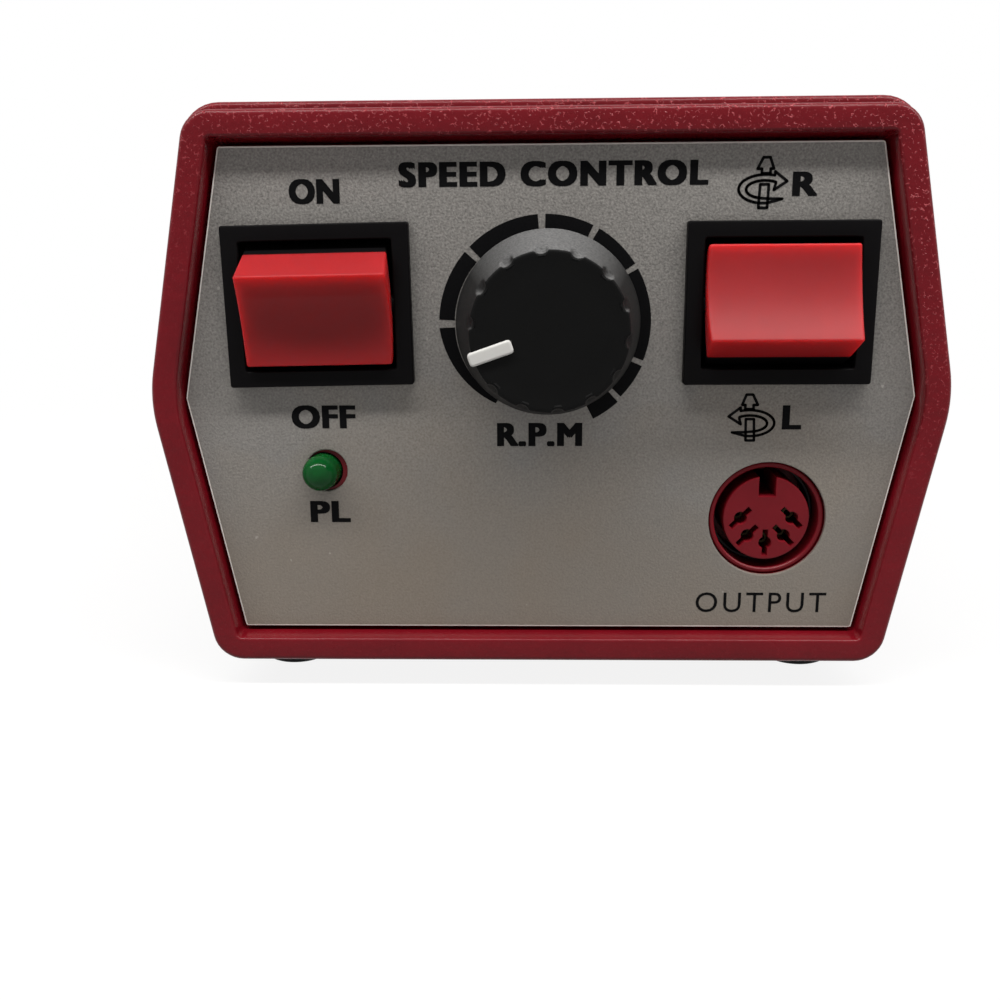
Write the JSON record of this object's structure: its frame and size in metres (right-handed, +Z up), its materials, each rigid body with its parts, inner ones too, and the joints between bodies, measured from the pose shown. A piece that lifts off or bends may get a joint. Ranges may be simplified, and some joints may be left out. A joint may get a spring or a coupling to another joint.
{
  "type": "nail drill machine",
  "caption": "Hexagonal red control box for a nail drill, with rocker switches, a fluted speed knob, a pilot lamp and a round output socket on a silver front panel.",
  "frame": {"origin": "on the ground, under the middle of the part's box", "axes": "+X to the right as seen from the front, +Y to the back, +Z up"},
  "size_m": [0.108, 0.1554, 0.0793],
  "materials": {
    "case_red": "moulded, fine leather grain",
    "panel_silver": "printed satin sheet",
    "foot_rubber": "matt",
    "steel": "zinc plated",
    "tinned_steel": "tinned",
    "black_plastic": "satin",
    "knob_black": "satin gloss",
    "pointer_white": "gloss",
    "rocker_red": "satin gloss",
    "plunger_nylon": "plain",
    "contact_brass": "bright",
    "wiper_phenolic": "plain",
    "lamp_green": "clear green",
    "socket_red": "satin",
    "core_iron": "laminated",
    "bobbin_nylon": "plain",
    "winding_copper": "lacquered copper",
    "board_laminate": "lacquered",
    "capacitor_sleeve": "shrink sleeve",
    "sink_aluminium": "extruded",
    "fuse_glass": "clear",
    "connector_white": "plain"
  },
  "bodies": {
    "case": {"front_frame": "case_red", "upper_cover": "case_red", "lower_case": "case_red", "rear_panel": "case_red", "panel_overlay": "panel_silver", "rubber_feet": "foot_rubber", "foot_screws": "steel", "closing_screws": "steel", "output_screws": "steel", "inlet_screws": "steel", "inlet_nuts": "steel", "mode_screws": "steel", "transformer_screws": "steel", "transformer_bracket": "steel", "board_screws": "steel", "transistor_screw": "steel", "pot_washer": "steel", "pot_nut": "steel", "jack_nut": "steel", "output_shield": "steel", "pot_housing": "tinned_steel", "pot_terminals": "tinned_steel", "mode_switch_body": "tinned_steel", "inlet_pins": "tinned_steel", "led_leads": "tinned_steel", "power_switch_body": "black_plastic", "direction_switch_body": "black_plastic", "led_ring": "black_plastic", "mains_inlet": "black_plastic", "pedal_jack": "black_plastic", "bridge_rectifier": "black_plastic", "power_transistor": "black_plastic", "power_terminals": "contact_brass", "direction_terminals": "contact_brass", "output_contacts": "contact_brass", "fuse_clips": "contact_brass", "led_lamp": "lamp_green", "output_socket": "socket_red", "output_core": "socket_red", "transformer_core": "core_iron", "transformer_bobbin": "bobbin_nylon", "transformer_winding": "winding_copper", "control_board": "board_laminate", "main_capacitor": "capacitor_sleeve", "heat_sink": "sink_aluminium", "board_fuse": "fuse_glass", "board_connectors": "connector_white"},
    "power_rocker": {"power_rocker": "rocker_red", "power_plungers": "plunger_nylon", "power_springs": "steel"},
    "power_contacts": {"power_contact_arms": "contact_brass"},
    "direction_rocker": {"direction_rocker": "rocker_red", "direction_plungers": "plunger_nylon", "direction_springs": "steel"},
    "direction_contacts": {"direction_contact_arms": "contact_brass"},
    "speed_control": {"speed_knob": "knob_black", "knob_pointer": "pointer_white", "pot_shaft": "steel", "pot_wiper": "wiper_phenolic"},
    "mode_slider": {"mode_slider": "black_plastic"}
  },
  "joints": [
    {"name": "power_rock", "type": "hinge", "parent": "case", "child": "power_rocker", "pos_m": [-0.0301, -0.06295, 0.0534], "axis": [-1, 0, 0], "range_deg": [0, 40]},
    {"name": "power_seesaw", "type": "hinge", "parent": "case", "child": "power_contacts", "pos_m": [-0.0301, -0.0525, 0.0534], "axis": [-1, 0, 0], "range_deg": [-16, 0]},
    {"name": "direction_rock", "type": "hinge", "parent": "case", "child": "direction_rocker", "pos_m": [0.0301, -0.06295, 0.0534], "axis": [1, 0, 0], "range_deg": [0, 40]},
    {"name": "direction_seesaw", "type": "hinge", "parent": "case", "child": "direction_contacts", "pos_m": [0.0301, -0.0525, 0.0534], "axis": [1, 0, 0], "range_deg": [-16, 0]},
    {"name": "speed_turn", "type": "hinge", "parent": "case", "child": "speed_control", "pos_m": [0, -0.06265, 0.0511], "axis": [0, 1, 0], "range_deg": [-41, 259]},
    {"name": "mode_slide", "type": "slide", "parent": "case", "child": "mode_slider", "axis": [1, 0, 0], "range_m": [0, 0.004]}
  ],
  "couplings": [
    {"joint": "power_seesaw", "follows": "power_rock", "ratio": -0.4},
    {"joint": "direction_seesaw", "follows": "direction_rock", "ratio": -0.4}
  ]
}
